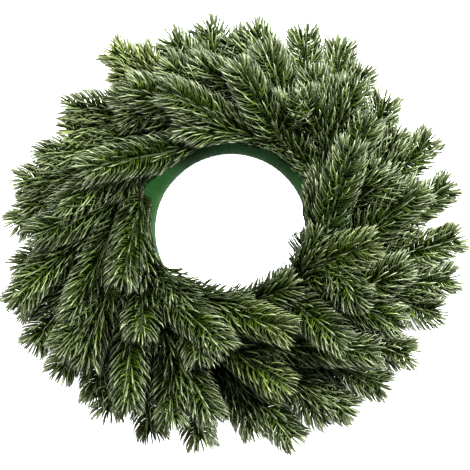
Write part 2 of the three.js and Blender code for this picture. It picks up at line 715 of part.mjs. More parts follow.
const { places, grooves } = wirePlaces();
const wire = wirePath(places);
for (let i = 1; i < wire.length; i++) {
  file({ p: wire[i - 1], q: wire[i], rp: WIRE_RADIUS, rq: WIRE_RADIUS, owner: "wire" });
}

// Needles grow on all sprays at once, from the tips back, so that none of them
// takes the room of another.
const rounds = Math.max(...stems.map((s) => s.facets.length));
for (let n = 0; n < rounds; n++) {
  for (const stem of stems) {
    const facet = stem.facets[stem.facets.length - 1 - n];
    if (facet && facet.raised) growNeedle(stem, facet);
  }
}

const wreath = new THREE.Group();
wreath.name = "evergreen_wreath";

function addMesh(name, geometry, look) {
  const mesh = new THREE.Mesh(geometry, new THREE.MeshStandardMaterial(MATERIALS[look]));
  mesh.name = name;
  wreath.add(mesh);
}

addMesh("ring_core", ringGeometry(grooves), "tape");
addMesh("binding_wire", wireGeometry(wire), "wire");
for (const stem of stems) {
  if (stem.main) continue;
  let geometry = sprayGeometry(stem);
  for (const twig of stems.filter((s) => s.main === stem)) {
    geometry = geometryFrom(solidFrom(geometry).add(solidFrom(sprayGeometry(twig))));
  }
  addMesh(stem.row.name, geometry, YOUNG.includes(stem.row.name) ? "young" : "foliage");
}

// The origin is the middle of the wreath, on the surface that it rests on.
const box = new THREE.Box3().setFromObject(wreath);
const centre = box.getCenter(new THREE.Vector3());
for (const mesh of wreath.children) mesh.position.set(-centre.x, -centre.y, 0);

export default wreath;
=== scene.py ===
"""Evergreen wreath: fir sprays bound with wire to a ring wrapped in green tape, on its flat back."""

import math

import bpy
import numpy as np
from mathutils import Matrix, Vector
from mathutils.bvhtree import BVHTree


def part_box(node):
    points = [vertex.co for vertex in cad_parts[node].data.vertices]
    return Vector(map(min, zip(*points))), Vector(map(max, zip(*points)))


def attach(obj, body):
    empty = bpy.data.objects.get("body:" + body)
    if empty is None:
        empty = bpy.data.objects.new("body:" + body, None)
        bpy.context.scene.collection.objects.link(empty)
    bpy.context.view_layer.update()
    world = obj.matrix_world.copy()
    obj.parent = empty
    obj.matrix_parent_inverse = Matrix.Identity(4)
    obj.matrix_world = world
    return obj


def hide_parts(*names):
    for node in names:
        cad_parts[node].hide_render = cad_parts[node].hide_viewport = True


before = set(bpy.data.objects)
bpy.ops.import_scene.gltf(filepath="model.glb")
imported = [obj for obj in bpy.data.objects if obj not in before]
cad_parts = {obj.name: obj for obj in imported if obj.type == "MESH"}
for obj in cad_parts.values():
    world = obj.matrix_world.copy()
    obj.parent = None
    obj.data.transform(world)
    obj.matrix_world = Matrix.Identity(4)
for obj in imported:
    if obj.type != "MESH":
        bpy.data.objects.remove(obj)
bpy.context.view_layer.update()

MM = 0.001
RAD = math.pi / 180
UP = np.array([0.0, 0.0, 1.0])

# ---- the photograph's frame: 470 px wide, 1 px to 1 mm where the foliage is ----
PHOTO_SIDE = 470
RING_PX, RING_PY = 231.3, 230  # the middle of the ring's hole
SENSOR_WIDTH = 36
CAMERA_DISTANCE = 3.0  # metres
SUBJECT_HEIGHT = 0.035  # metres, where 1 px is 1 mm
CLIP_END = 20

# ---- ring, in mm ----
RING_RADIUS = 101.0
TUBE_RADIUS = 25.0
TUBE_HEIGHT = 22.0
RING_STEPS = 828  # points round the ring
TUBE_STEPS = 84  # points round the tube
TAPE_TURNS = 46  # turns of tape round the whole ring
TAPE_STEP = 0.3  # thickness of one lap
LAP_EDGE = 0.08  # of a lap's width, its steep edge
LAP_BASE = 0.35  # of a lap's thickness, the part that doesn't slope away
CREASE, FINE_CREASE = 0.1, 0.06  # height of the tape's creases
CREASE_WAVES, CREASE_TWIST, CREASE_SLANT = 9, 2.2, 3
FINE_WAVES, FINE_SLANT = 83, 5
GROOVE_HALF = 1.25
GROOVE_DEPTH = 1.8
GROOVE_RIM = 0.5  # past its half width, where a groove's side begins
GROOVE_SOFT = 0.6  # width of its sloping side
GROOVE_PAST = 0.05  # of a groove's length, how far it runs past each end

# ---- binding wire, in mm and degrees ----
WIRE_TURNS = 5
WIRE_START = 378  # degrees round the ring
WIRE_PITCH = -30
# Where the wire meets the flat underside, in degrees round the tube from its outer side.
WIRE_FIRST_FOOT = 268
WIRE_INNER_FOOT = 233.5
WIRE_OUTER_FOOT = -53.5
UNDERNEATH = 270
# The distance of these places and of the wire's end from the ring's radius.
WIRE_FIRST_REACH = 3
WIRE_BED_REACH = 15.6
WIRE_LAST_REACH = 4

WIRE_RUN_X = -91  # the straight run over the left of the ring
WIRE_RUN_Y = (-74, 79)
WIRE_RUN_DOWN = 139  # degrees round the ring where the wire goes down again after it
WIRE_LAST_GROOVE = (5, 7)  # degrees past that where its last groove starts and ends
WIRE_RUN_CLEAR = 1.1  # on each side of the run, where no needle lies over it
WIRE_RUN_STEPS = 8  # places looked at between two stations of a needle
WIRE_CLEAR = 1.2  # from a needle to the wire, where a crossing is looked for
ABOVE_ALL = 120  # height over everything

# ---- sprays, in mm and degrees ----
STEM_BUTT_RADIUS = 1.9
STEM_TIP_RADIUS = 1.0
STEM_POINTS = 25
STEM_BEND = 0.36  # reach of the curve's handles, as a share of its chord
STEM_RISE = 0.12  # how steeply a stem turns off the tube where it leaves it
SEAT_GAP = 0.1  # between a butt and the ring
SEAT_BACK, SEAT_STEP = 45, 1.5  # how far back along its heading a butt may be, tried in steps
SEAT_BACK_COST = 0.02
TWIG_FORK = 0.3  # of a spray's first stem, where its side twig leaves it
# Of each layer: the butt's angle up the tube, the tip's height and slope, how far the stem
# ends before the spray's tip, and its lengths without needles and, at most, with them.
LAYERS = {
    "low": dict(seat=12, height=21, slope=0, setback=1, bare=8, needled=120),
    "mid": dict(seat=66, height=47, slope=0.02, setback=3, bare=5, needled=130),
    "top": dict(seat=100, height=68, slope=0.08, setback=3, bare=3, needled=150),
    "inner": dict(seat=122, height=52, slope=0, setback=4, bare=2, needled=150),
}
# Changes of tip height, place round the ring and place round the tube that a stem may make
# to stay clear of the others, what each costs, and the room that is enough.
LIFTS = [0, 4, -4, 8, -8, 12]
TURNS = [0, 3, -3, 6, -6]
SEATS = [0, 9, -9, 18, -18]
LIFT_COST, TURN_COST, SEAT_COST = 0.3, 0.21, 0.07
ROOM = 13
FORK_POINTS = 9  # points at the start of a twig that are near its own stem

# Side shoots: where they leave a stem (share of its length), on which side, how long.
SHOOTS = {
    "low": [(0.3, 1, 50), (0.16, -1, 50)],
    "mid": [(0.1, 1, 50)],
    "top": [],
    "inner": [],
}
# Shoots placed one by one: spray, tip x, y and z, and the point x, y that they leave it near.
PLACED_SHOOTS = [
    ("spray_inner_05", 52, 104, 44, 84, 42),
    ("spray_top_08", -87, -50, 47, -84, 34),
    ("spray_inner_04", 90, 62, 42, 84, 10),
    ("spray_mid_02", -112, 132, 36, -38, 118),
    ("spray_top_03", 108, -50, 56, 74, -46),
    ("spray_low_01", -112, 159, 21, -50, 140),
    ("spray_low_01", -90, 177, 21, -50, 140),
    ("spray_mid_02", -104, 112, 38, -60, 118),
    ("spray_inner_01", -30, -71, 36, -70, -42),
    ("spray_inner_02", 26, -71, 36, -20, -72),
    ("spray_inner_03", 54, -53, 36, 24, -70),
    ("spray_inner_04", 76, -10, 38, 68, -42),
]
SHOOT_ANGLE = 30
SHOOT_HEIGHT = {"low": 14, "mid": 31, "top": 50, "inner": 42}
SHOOT_CLIMB = 0.6  # of the way to that height
SHOOT_ALONG = 0.8  # of the rest of the stem, the longest shoot
SHOOT_LEAST = 0.4  # of a shoot's length, what is always kept of it
SHOOT_REACH = 178  # from the middle of the ring, past which a side shoot is cut short
SHOOT_HOLE_GAP = 12  # least that its tip stays from the foliage's limit at the hole
SHOOT_FROM = 0.3  # of a side twig, where its own shoots start
SHOOT_POINTS = 13
SHOOT_CLEAR = 1.6  # from its middle line to the ring
SHOOT_NEEDLES = 0.84  # size of its needles, to a stem's
SHOOT_GIRTH = 0.7  # its thickness, to a stem's

# ---- the wood of stems and shoots, in mm and degrees ----
WOOD_SIDES = 8
WOOD_STEP = 1.6  # between two rings of points
WOOD_TWIST = 11  # from one ring to the next
BUTT_SHARE = 0.8  # radius of the cut end, to that of the stem
CUSHION, CUSHION_JITTER = 0.07, 0.02  # height of the leaf cushions, to the radius
CUSHION_WAVES, CUSHION_PACE = 3, 1.9  # waves of them round the stem, and how fast they turn
BUD_START = 3  # before the end of the stem, where its even rings stop
BUD_PLACES = np.array([-2, -0.8, 0.6, 1.8])  # past the end of the stem
BUD_RADII = [1.35, 1.5, 1.2, 0.5]
BUD_POINT = 0.7
AXIS_REACH = 3  # to each side along the stem, over which its direction is taken

# ---- needles, in mm and degrees ----
NEEDLES_PER_MM = {"low": 2.1, "mid": 1.9, "top": 1.75, "inner": 2.1}
TIP_CROWDING = 1.15  # an exponent; above 1 the needles crowd towards the tip
PLACE_RANGE = (0.1, 0.9)  # of its even share of the stem, where a needle stands
GOLDEN_TURN = 137.508
ANGLE_JITTER = 5
SIDEWAYS = 0.22  # how much they crowd towards the sides
NEEDLE_LENGTH = [26, 30, 30, 24]  # along the stem, from its butt to its tip
LENGTH_RANGE = (0.9, 1.06)
NEEDLE_LEAN = [58, 51, 49, 47]  # off the stem, from its butt to its tip
LEAN_JITTER = 1.6
SWAY_JITTER = 1.5
UPPER_LEAN = 0.42  # how much closer to the stem the upper ones lie
UPPER_SHORT = 0.1  # how much shorter the upper and lower ones are
# Degrees that a needle curves forward from root to tip; those at the hole are straighter.
NEEDLE_CURL = {"low": 65, "mid": 65, "top": 65, "inner": 15}
FLATNESS = 0.6  # of a spray, its height as a share of its width
NEEDLE_WIDTH = 1.85
NEEDLE_THICKNESS = 1.1
NEEDLE_SIDES = 4
NEEDLE_STATIONS = [0.0, 0.4, 0.8]  # shares of its length; it ends in a point
NEEDLE_PROFILE = [0.75, 1.0, 0.84]  # shares of its width there
NEEDLE_ROOT = 0.5  # from the middle of the stem
SIZE_RANGE = (0.85, 1.12)
ROLL_JITTER = 15
TWIG_BARE, SHOOT_BARE = 10, 3  # most that a side twig and a shoot have without needles
TUFT = 14  # needles that close the end of a spray
TUFT_DEPTH = 2.5
TUFT_LEAN = 52
TUFT_LENGTH, TUFT_WIDER = 20, 2  # straight ahead, and what is added at the widest
TUFT_RANGE = (0.86, 1.04)
HUNG_REACH = 77  # needles that end nearer the middle are given painted shade: a darker colour, taken from further back along the stem
HUNG_SHADE_PLACE = 0.3  # of their own place along the stem, where the painted shade takes its colour from
HUNG_LIMIT = 73  # where the foliage's limit is nearer, needles hang over the ring's edge
HUNG_RAGGED = 4.5  # how much the ends of these differ
FRINGE_SHARE = 0.36  # of them, those that stand out into the hole
FRINGE_OUT = 13  # how much nearer the middle these may come
FRINGE_BACK = 5  # how much further back the others stay
BARE_RAGGED = 1.6  # how much the ends along the bare tape differ
ROOT_ROOM = 4  # how far inwards of its root a needle may always lie
PUSHES = 2  # times that needles are pushed off the hole and the ring
PUSH_OUT, PUSH_UP = 0.94, 0.35  # of what a needle is too near the middle
NEEDLE_CLEAR = 0.8  # off the ring
FLOOR_CLEAR = 1.0
# The least that a needle's tone is drawn from, up to 1. This is painted light: the lower sprays, in the
# shade of those above, are kept lighter, and the low sprays have no dark needles.
DARKEST = {"low": 0.38, "mid": 0.12, "top": 0.0, "inner": 0.0}

# How near the middle the foliage comes, by the angle round the ring: it stays off
# the tape at the top, reaches the edge at the left and hangs over it below.
HOLE_LIMITS = [
    (0, 74), (16, 76), (32, 87), (150, 87), (168, 82), (190, 80), (208, 77),
    (224, 64), (245, 58), (325, 56), (348, 66), (360, 74),
]

# Each spray: name, layer, tip x and y, a point x and y on its stem nearer the ring,
# and a seat of its own where it has one. "+" is a side twig of the spray before it.
SPRAYS = [
    ("spray_low_01", "low", -118, 180, -45, 135),
    ("spray_low_02", "low", -60, 189, 0, 135),
    ("+", "low", -24, 201, 32, 140),
    ("spray_low_03", "low", 22, 200, 60, 135),
    ("+", "low", 2, 191, 42, 128),
    ("spray_low_04", "low", 72, 195, 80, 120),
    ("spray_low_05", "low", 110, 184, 100, 110),
    ("+", "low", 129, 158, 110, 90),
    ("spray_low_06", "low", 155, 128, 135, 70),
    ("spray_low_07", "low", 165, 95, 140, 40),
    ("+", "low", 198, 89, 155, 40),
    ("spray_low_08", "low", 216, 43, 165, 5),
    ("spray_low_09", "low", 224, -8, 160, -35),
    ("spray_low_10", "low", 219, -48, 155, -65),
    ("+", "low", 204, -80, 145, -85),
    ("spray_low_11", "low", 177, -124, 120, -120),
    ("spray_low_12", "low", 150, -156, 90, -135),
    ("spray_low_13", "low", 116, -180, 60, -150),
    ("+", "low", 92, -183, 35, -155),
    ("spray_low_14", "low", 61, -208, 10, -165),
    ("spray_low_15", "low", 23, -198, -15, -120),
    ("spray_low_16", "low", -31, -210, -50, -140),
    ("spray_low_17", "low", -80, -201, -95, -130),
    ("+", "low", -123, -181, -120, -120),
    ("spray_low_18", "low", -171, -141, -135, -70),
    ("+", "low", -136, -166, -118, -95),
    ("spray_low_19", "low", -197, -112, -155, -50),
    ("+", "low", -211, -77, -155, -25),
    ("spray_low_20", "low", -214, -71, -170, -5),
    ("+", "low", -209, -39, -155, 5),
    ("spray_low_21", "low", -214, 6, -155, 50),
    ("spray_low_22", "low", -208, 47, -140, 65),
    ("+", "low", -203, 26, -145, 50),
    ("spray_low_23", "low", -187, 72, -120, 90),
    ("spray_low_24", "low", -160, 121, -90, 130),
    ("+", "low", -162, 98, -80, 110),
    ("spray_mid_01", "mid", -62, 164, -15, 125),
    ("spray_mid_02", "mid", -100, 142, -30, 115),
    ("spray_mid_03", "mid", 35, 180, 58, 105),
    ("+", "mid", -34, 166, 22, 118),
    ("spray_mid_04", "mid", 82, 155, 90, 90),
    ("+", "top", 72, 132, 98, 65),
    ("spray_mid_05", "mid", 100, 145, 95, 80),
    ("+", "mid", 120, 145, 115, 65),
    ("spray_mid_06", "mid", 135, 108, 115, 65),
    ("spray_mid_07", "mid", 142, 62, 115, 25),
    ("+", "mid", 160, 50, 115, 10),
    ("spray_mid_08", "mid", 187, 40, 140, 0),
    ("spray_mid_09", "mid", 172, -38, 110, -70),
    ("+", "mid", 166, -90, 100, -80),
    ("spray_mid_10", "mid", 142, -120, 60, -115),
    ("spray_mid_11", "mid", 53, -155, -5, -115),
    ("spray_mid_12", "mid", -20, -184, -60, -120),
    ("+", "mid", -58, -190, -68, -122),
    ("spray_mid_13", "mid", -102, -174, -102, -100),
    ("spray_mid_14", "mid", -158, -86, -125, -15),
    ("spray_mid_15", "mid", -145, -132, -135, -70),
    ("+", "mid", -168, -118, -130, -70),
    ("spray_mid_16", "mid", -170, 20, -110, 60),
    ("spray_mid_17", "mid", -195, -5, -140, 15),
    ("spray_top_01", "top", -65, 138, 0, 110),
    ("spray_top_02", "top", 7, 160, 45, 100),
    ("+", "top", 58, 132, 70, 75),
    ("spray_top_03", "top", 139, -14, 70, -42, 128),
    ("+", "top", 130, -66, 65, -62),
    ("spray_top_04", "top", 55, -100, -15, -72, 126),
    ("spray_top_05", "top", -8, -116, -50, -72, 112),
    ("spray_top_06", "top", -30, -128, -35, -80),
    ("spray_top_07", "top", -90, -102, -85, -50),
    ("spray_top_08", "top", -108, -50, -90, 40),
    ("spray_top_09", "top", -144, 58, -30, 98),
    ("spray_top_10", "top", 108, -110, 55, -68, 116),
    ("spray_top_11", "top", 118, 82, 98, 5),
    ("spray_inner_01", "inner", -45, -68, -84, -25),
    ("spray_inner_02", "inner", 12, -76, -45, -66),
    ("spray_inner_03", "inner", 60, -55, 10, -76),
    ("spray_inner_04", "inner", 86, -5, 64, -52),
    ("spray_inner_05", "inner", 92, 52, 90, 0),
    ("spray_inner_06", "inner", -48, 103, 30, 92, 86),
]
# Stems with this year's paler needles: the spray, and which of its stems.
YOUNG = [
    ("spray_top_03", 0),
    ("spray_top_04", 0),
    ("spray_mid_11", 0),
    ("spray_low_01", 0),
    ("spray_low_24", 1),
]
FIRST_SEED = 4100

# ---- colours ----
# Tones of the single needles, and their colour at the root, in the middle, at the tip and when old. The
# pale tip colour is a painted sheen. The old colour also serves as painted shade on needles that point
# down and on those that hang over the hole.
FIR_TONES = [(0.0, 0.5), (0.45, 0.95), (0.8, 1.5), (1.0, 2.4)]
FIR_COLOURS = (0.036, 0.058, 0.003), (0.056, 0.07, 0.03), (0.17, 0.19, 0.13), (0.008, 0.016, 0.002)
# The same for the needles of young stems: their pale tip colour is also painted sheen, and their last
# colour also painted shade.
YOUNG_TONES = [(0.0, 0.55), (0.45, 1.0), (0.8, 1.5), (1.0, 2.3)]
YOUNG_COLOURS = (0.045, 0.067, 0.005), (0.06, 0.077, 0.025), (0.2, 0.22, 0.13), (0.01, 0.02, 0.002)
WOOD = [(0.3, (0.012, 0.012, 0.004)), (0.55, (0.022, 0.024, 0.007)), (0.8, (0.036, 0.038, 0.012))]
GREEN_WOOD = (0.014, 0.025, 0.003)
TAPE = [(0.25, (0.014, 0.042, 0.013)), (0.75, (0.02, 0.056, 0.019))]
TAPE_EDGE = (0.006, 0.02, 0.007)
TAPE_FADED = (0.03, 0.072, 0.027)
LACQUER = [(0.3, (0.001, 0.002, 0.001)), (0.7, (0.002, 0.004, 0.002))]
PAPER = [(0.2, (0.9, 0.9, 0.9)), (0.8, (0.93, 0.93, 0.93))]
NOISE_ROUGHNESS = 0.6
MIX_FACTOR, MIX_A, MIX_B, MIX_RESULT = 0, 6, 7, 2  # sockets of a mix of colours
FIR_SLOT, BARK_SLOT, YOUNG_SLOT = 0, 1, 2  # in the list of a spray's materials

# ---- studio, in metres, watts and degrees ----
# Lights: name, size, power and azimuth.
LIGHTS = [
    ("east", 0.25, 74, 33),
    ("north", 0.25, 38, 124),
    ("west", 0.5, 16, 195),
    ("south", 0.5, 7, 270),
]
LIGHT_ELEVATION = 36
LIGHT_DISTANCE = 1.6
WORLD_STRENGTH = 0.06
FLOOR_GLOW = 0.64  # makes the floor as white as the photo's background
FLOOR_SIZE = 8
FLOOR_PARTS = 8
FLOOR_DROP = 0.0003

ring_low, ring_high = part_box("ring_core")
CENTRE = np.array([(ring_low[0] + ring_high[0]) / 2, (ring_low[1] + ring_high[1]) / 2, 0.0])


# ---- camera ----


def add_camera():
    """Looks straight down; the middle of the picture is a few mm from the ring's middle."""
    half = PHOTO_SIDE / 2
    x = CENTRE[0] + (half - RING_PX) * MM
    y = CENTRE[1] - (half - RING_PY) * MM
    data = bpy.data.cameras.new("camera")
    data.sensor_fit = "HORIZONTAL"
    data.sensor_width = SENSOR_WIDTH
    data.lens = SENSOR_WIDTH * CAMERA_DISTANCE / (PHOTO_SIDE * MM)
    data.clip_end = CLIP_END
    camera = bpy.data.objects.new("camera", data)
    camera.location = (x, y, SUBJECT_HEIGHT + CAMERA_DISTANCE)
    bpy.context.scene.collection.objects.link(camera)
    bpy.context.scene.camera = camera


# ---- the tube of the ring ----


def tube_point(turn, up, distance):
    """A point by its angle round the ring, its angle round the tube and its distance from the centre."""
    r = RING_RADIUS + distance * math.cos(up * RAD)
    z = TUBE_HEIGHT + distance * math.sin(up * RAD)
    return np.array([r * math.cos(turn * RAD), r * math.sin(turn * RAD), z])


def off_tube(p):
    """Outward directions from the tube's centre line to the points p, and their distances."""
    r = np.hypot(p[..., 0], p[..., 1])
    out = r - RING_RADIUS
    v = np.stack([p[..., 0] / r * out, p[..., 1] / r * out, p[..., 2] - TUBE_HEIGHT], -1)
    d = np.linalg.norm(v, axis=-1)
    return v / np.maximum(d, 1e-9)[..., None], d


def unit(v):
    """The directions of the vectors v."""
    return v / np.linalg.norm(v, axis=-1, keepdims=True)


def hole_limit(p):
    """How near the middle the foliage may come in the direction of the points p."""
    turn = np.degrees(np.arctan2(p[..., 1], p[..., 0])) % 360
    return np.interp(turn, *zip(*HOLE_LIMITS))


# ---- stems ----


class Path:
    """A stem by its length: its centre, its direction and its sideways and upward axes."""

    def __init__(self, points):
        self.points = points
        steps = np.linalg.norm(np.diff(points, axis=0), axis=1)
        self.lengths = np.concatenate([[0], np.cumsum(steps)])
        self.total = self.lengths[-1]

    def at(self, s):
        return np.stack([np.interp(s, self.lengths, self.points[:, k]) for k in range(3)], -1)

    def axes(self, s):
        ahead = self.at(np.minimum(s + AXIS_REACH, self.total))
        tangent = unit(ahead - self.at(np.maximum(s - AXIS_REACH, 0)))
        side = unit(np.cross(tangent, UP))
        return tangent, side, np.cross(side, tangent)


def bend(start, leave, end, arrive, count):
    """A curve from start to end that leaves and arrives in the directions given."""
    span = np.linalg.norm(end - start) * STEM_BEND
    t = np.linspace(0, 1, count)[:, None]
    return (
        start * (1 - t) ** 3
        + (start + leave * span) * 3 * (1 - t) ** 2 * t
        + (end - arrive * span) * 3 * (1 - t) * t**2
        + end * t**3
    )


def held_off(points, keep):
    """The points, moved outwards where they are nearer the tube's centre line than keep."""
    normal, d = off_tube(points)
    return points + normal * np.maximum(keep - d, 0)[..., None]


def stem_points(row, lift, turn, seat, fork=None, fork_heading=None):
    """A curve that leaves the ring along its surface and ends in the heading of the spray."""
    layer = LAYERS[row[1]]
    tip, near = np.array([*row[2:4], 0.0]), np.array([*row[4:6], 0.0])
    heading = unit(tip - near)
    end = tip + UP * (layer["height"] + lift) - heading * layer["setback"]
    keep = TUBE_RADIUS + STEM_BUTT_RADIUS + SEAT_GAP
    if fork is None:
        seat = (row[6] if len(row) > 6 else layer["seat"]) + seat
        wanted = RING_RADIUS + keep * math.cos(seat * RAD)
        back = np.arange(0, SEAT_BACK + SEAT_STEP / 2, SEAT_STEP)
        at = near[:2] - heading[:2] * back[:, None]
        best = at[np.argmin(np.abs(np.hypot(*at.T) - wanted) + back * SEAT_BACK_COST)]
        start = tube_point(math.atan2(best[1], best[0]) / RAD + turn, seat, keep)
        normal = off_tube(start)[0]
        leave = unit(heading - normal * (heading @ normal) + normal * STEM_RISE)
    else:
        start = fork
        leave = unit((fork_heading + heading) / 2)
    arrive = unit(heading + UP * layer["slope"])
    return held_off(bend(start, leave, end, arrive, STEM_POINTS), keep)


def lay_stems():
    """Stems are laid in turn, each with the changes that keep it clear of the earlier ones."""
    placed = []
    main = None
    for row in SPRAYS:
        twig = row[0] == "+"
        fork = {}
        if twig:
            k = round(TWIG_FORK * (STEM_POINTS - 1))
            at, after = main["points"][k : k + 2]
            fork = dict(fork=at, fork_heading=unit(after - at))
        changes = [
            (lift, turn, seat)
            for lift in LIFTS
            if not (row[1] == "low" and lift < 0)
            for turn in ([0] if twig else TURNS)
            for seat in ([0] if twig else SEATS)
        ]
        tried = np.array([stem_points(row, *change, **fork) for change in changes])
        clear = np.full(len(changes), float(ROOM))
        for other in placed:
            mine = tried[:, FORK_POINTS:] if twig and other is main else tried
            gap = mine[:, :, None] - other["points"]
            clear = np.minimum(clear, np.sqrt((gap**2).sum(-1)).min((1, 2)))
        lifts, turns, seats = np.abs(np.array(changes, float)).T
        best = int(np.argmax(clear - lifts * LIFT_COST - turns * TURN_COST - seats * SEAT_COST))
        name, part = (main["name"], main["part"] + 1) if twig else (row[0], 0)
        stem = dict(row=row, points=tried[best], twig=twig, name=name, part=part)
        if not twig:
            main = stem
        placed.append(stem)
    return placed


def shoot(stem, start, leave, end, arrive):
    """A short curved shoot on a stem, held off the ring."""
    points = held_off(bend(start, leave, end, arrive, SHOOT_POINTS), TUBE_RADIUS + SHOOT_CLEAR)
    return dict(stem, points=points, twig=True, shoot=True)


def side_shoot(stem, share, hand, length):
    """One shoot by its share of the stem's length, its side and its length, or None at the hole."""
    layer = stem["row"][1]
    path = Path(stem["points"])
    s = share * path.total
    start, ahead = path.at(s), path.axes(np.array(s))[0]
    turn = math.atan2(ahead[1], ahead[0]) + hand * SHOOT_ANGLE * RAD
    heading = np.array([math.cos(turn), math.sin(turn), 0.0])
    run = min(length, (path.total - s) * SHOOT_ALONG)
    end = start + heading * run
    end[2] = start[2] + (SHOOT_HEIGHT[layer] - start[2]) * SHOOT_CLIMB
    r = math.hypot(end[0], end[1])
    if r > SHOOT_REACH:
        end = start + (end - start) * max(SHOOT_LEAST, 1 - (r - SHOOT_REACH) / run)
    if r < hole_limit(end) + SHOOT_HOLE_GAP:
        return None
    return shoot(stem, start, unit(ahead + heading), end, heading)


def side_shoots(placed):
    """Short shoots on the stems, which close the foliage over the ring and between the sprays."""
    shoots = []
    for stem in placed:
        for share, hand, length in SHOOTS[stem["row"][1]]:
            if stem["twig"] and share < SHOOT_FROM:
                continue
            made = side_shoot(stem, share, hand, length)
            if made:
                shoots.append(made)
    for name, x, y, z, near_x, near_y in PLACED_SHOOTS:
        stem = next(each for each in placed if each["row"][0] == name)
        start = stem["points"][np.argmin(np.hypot(*(stem["points"][:, :2] - (near_x, near_y)).T))]
        end = np.array([x, y, z], float)
        heading = unit(end - start)
        shoots.append(shoot(stem, start, heading, end, heading))
    return shoots


# ---- needles ----


def spread(values, t):
    """The values, spread evenly over 0 to 1, at t."""
    return np.interp(t, np.linspace(0, 1, len(values)), values)


def needle_lines(stem, draw):
    """The middle lines of a stem's needles, their places along it and how much they point up."""
    path = Path(stem["points"])
    layer = LAYERS[stem["row"][1]]
    bare = max(layer["bare"], path.total - layer["needled"])
    if stem["twig"]:
        bare = min(bare, SHOOT_BARE if "shoot" in stem else TWIG_BARE)
    count = int((path.total - bare) * NEEDLES_PER_MM[stem["row"][1]])
    i = np.arange(count + TUFT)
    even = (np.arange(count) + draw.uniform(*PLACE_RANGE, count)) / count
    t = np.concatenate([1 - (1 - even) ** TIP_CROWDING, np.ones(TUFT)])
    s = bare + (path.total - bare) * t
    s[count:] -= draw.uniform(0, TUFT_DEPTH, TUFT)
    angle = (i * GOLDEN_TURN + draw.normal(0, ANGLE_JITTER, len(i))) * RAD
    angle -= SIDEWAYS * np.sin(2 * angle)
    tangent, side, up = path.axes(s)
    flat = unit(np.stack([np.cos(angle), FLATNESS * np.sin(angle)], 1))
    over = flat[:, 1:]
    out = side * flat[:, :1] + up * over
    length = spread(NEEDLE_LENGTH, t) * draw.uniform(*LENGTH_RANGE, len(i))
    lean = spread(NEEDLE_LEAN, t) + draw.normal(0, LEAN_JITTER, len(i))
    lean[count:] = TUFT_LEAN * np.sqrt(draw.uniform(0, 1, TUFT))
    tuft = TUFT_LENGTH + TUFT_WIDER * lean[count:] / TUFT_LEAN
    length[count:] = tuft * draw.uniform(*TUFT_RANGE, TUFT)
    length *= SHOOT_NEEDLES if "shoot" in stem else 1.0
    lean *= 1 - UPPER_LEAN * np.maximum(over[:, 0], 0) ** 2
    length *= 1 - UPPER_SHORT * np.abs(over[:, 0])
    sway = draw.normal(0, SWAY_JITTER, len(i)) * RAD
    away = out * np.cos(sway)[:, None] + np.cross(tangent, out) * np.sin(sway)[:, None]
    curl = NEEDLE_CURL[stem["row"][1]]
    at = [path.at(s) + out * NEEDLE_ROOT]
    stations = [*NEEDLE_STATIONS, 1.0]
    for a, b in zip(stations, stations[1:]):
        turn = (lean + curl * (0.5 - (a + b) / 2)) * RAD
        step = tangent * np.cos(turn)[:, None] + away * np.sin(turn)[:, None]
        at.append(at[-1] + step * (length * (b - a))[:, None])
    return np.stack(at, 1), t, 0.5 + 0.5 * over[:, 0]


def keep_off(lines, draw):
    """Needles are pushed off the ring and the floor, and swept along the hole instead of into it."""
    fringe = np.where(draw.uniform(0, 1, len(lines)) < FRINGE_SHARE, -FRINGE_OUT, FRINGE_BACK)
    for _ in range(PUSHES):
        free = lines[:, 1:]
        root = np.hypot(lines[:, :1, 0], lines[:, :1, 1])
        edge = hole_limit(free)
        ragged = draw.normal(0, 1, len(lines))
        hung, bare = fringe + HUNG_RAGGED * ragged, BARE_RAGGED * ragged
        edge += np.where(edge < HUNG_LIMIT, hung[:, None], bare[:, None])
        r = np.hypot(free[..., 0], free[..., 1])
        short = np.maximum(np.minimum(edge, root - ROOT_ROOM) - r, 0)
        free[..., :2] *= ((r + short * PUSH_OUT) / r)[..., None]
        free[..., 2] += short * PUSH_UP
        free[:] = held_off(free, TUBE_RADIUS + NEEDLE_CLEAR)
        free[..., 2] = np.maximum(free[..., 2], FLOOR_CLEAR)
    return lines


def over_run(line, wire):
    """Whether a needle lies over the wire's straight run, which holds the foliage down."""
    steps = np.linspace(0, 1, WIRE_RUN_STEPS + 1)[:-1, None]
    along = np.concatenate([p + (q - p) * steps for p, q in zip(line, line[1:])] + [line[-1:]])
    for x, y, z in along[np.abs(along[:, 0] - WIRE_RUN_X) < WIRE_RUN_CLEAR]:
        if WIRE_RUN_Y[0] < y < WIRE_RUN_Y[1]:
            above = Vector(np.array([WIRE_RUN_X, y, ABOVE_ALL]) * MM + CENTRE)
            hit = wire.ray_cast(above, Vector((0, 0, -1)))[0]
            if hit is not None and hit.z < z * MM:
                return True
    return False


def through_wire(line, wire):
    """Whether a needle, here in metres, passes through the wire."""
    for p, q in zip(line, line[1:]):
        step = Vector(q - p)
        if wire.find_nearest(Vector((p + q) / 2), step.length / 2 + WIRE_CLEAR * MM)[0] is None:
            continue
        if wire.ray_cast(Vector(p), step.normalized(), step.length)[0] is not None:
            return True
    return False


def clear_of_wire(lines, wire):
    """Which needles neither pass through the binding wire nor lie over its straight run."""
    pairs = zip(lines, lines * MM + CENTRE)
    return np.array([not (over_run(line, wire) or through_wire(place, wire)) for line, place in pairs])


# ---- meshes ----
# Each point carries four numbers for its colour. For needles these are a drawn tone, the
# place along the needle, the place along the stem and how much the needle points up. Wood
# and tape use only the second one, for the place along the stem or across the lap.


def sleeve(rings, sides):
    """Quads between rings of points that follow each other."""
    quads = []
    for k in range(rings - 1):
        for j in range(sides):
            a, b = k * sides + j, k * sides + (j + 1) % sides
            quads.append((a, b, b + sides, a + sides))
    return quads


def fan(first, sides, point):
    """Triangles from the ring of points that starts at first to one point."""
    return [(first + j, first + (j + 1) % sides, point) for j in range(sides)]


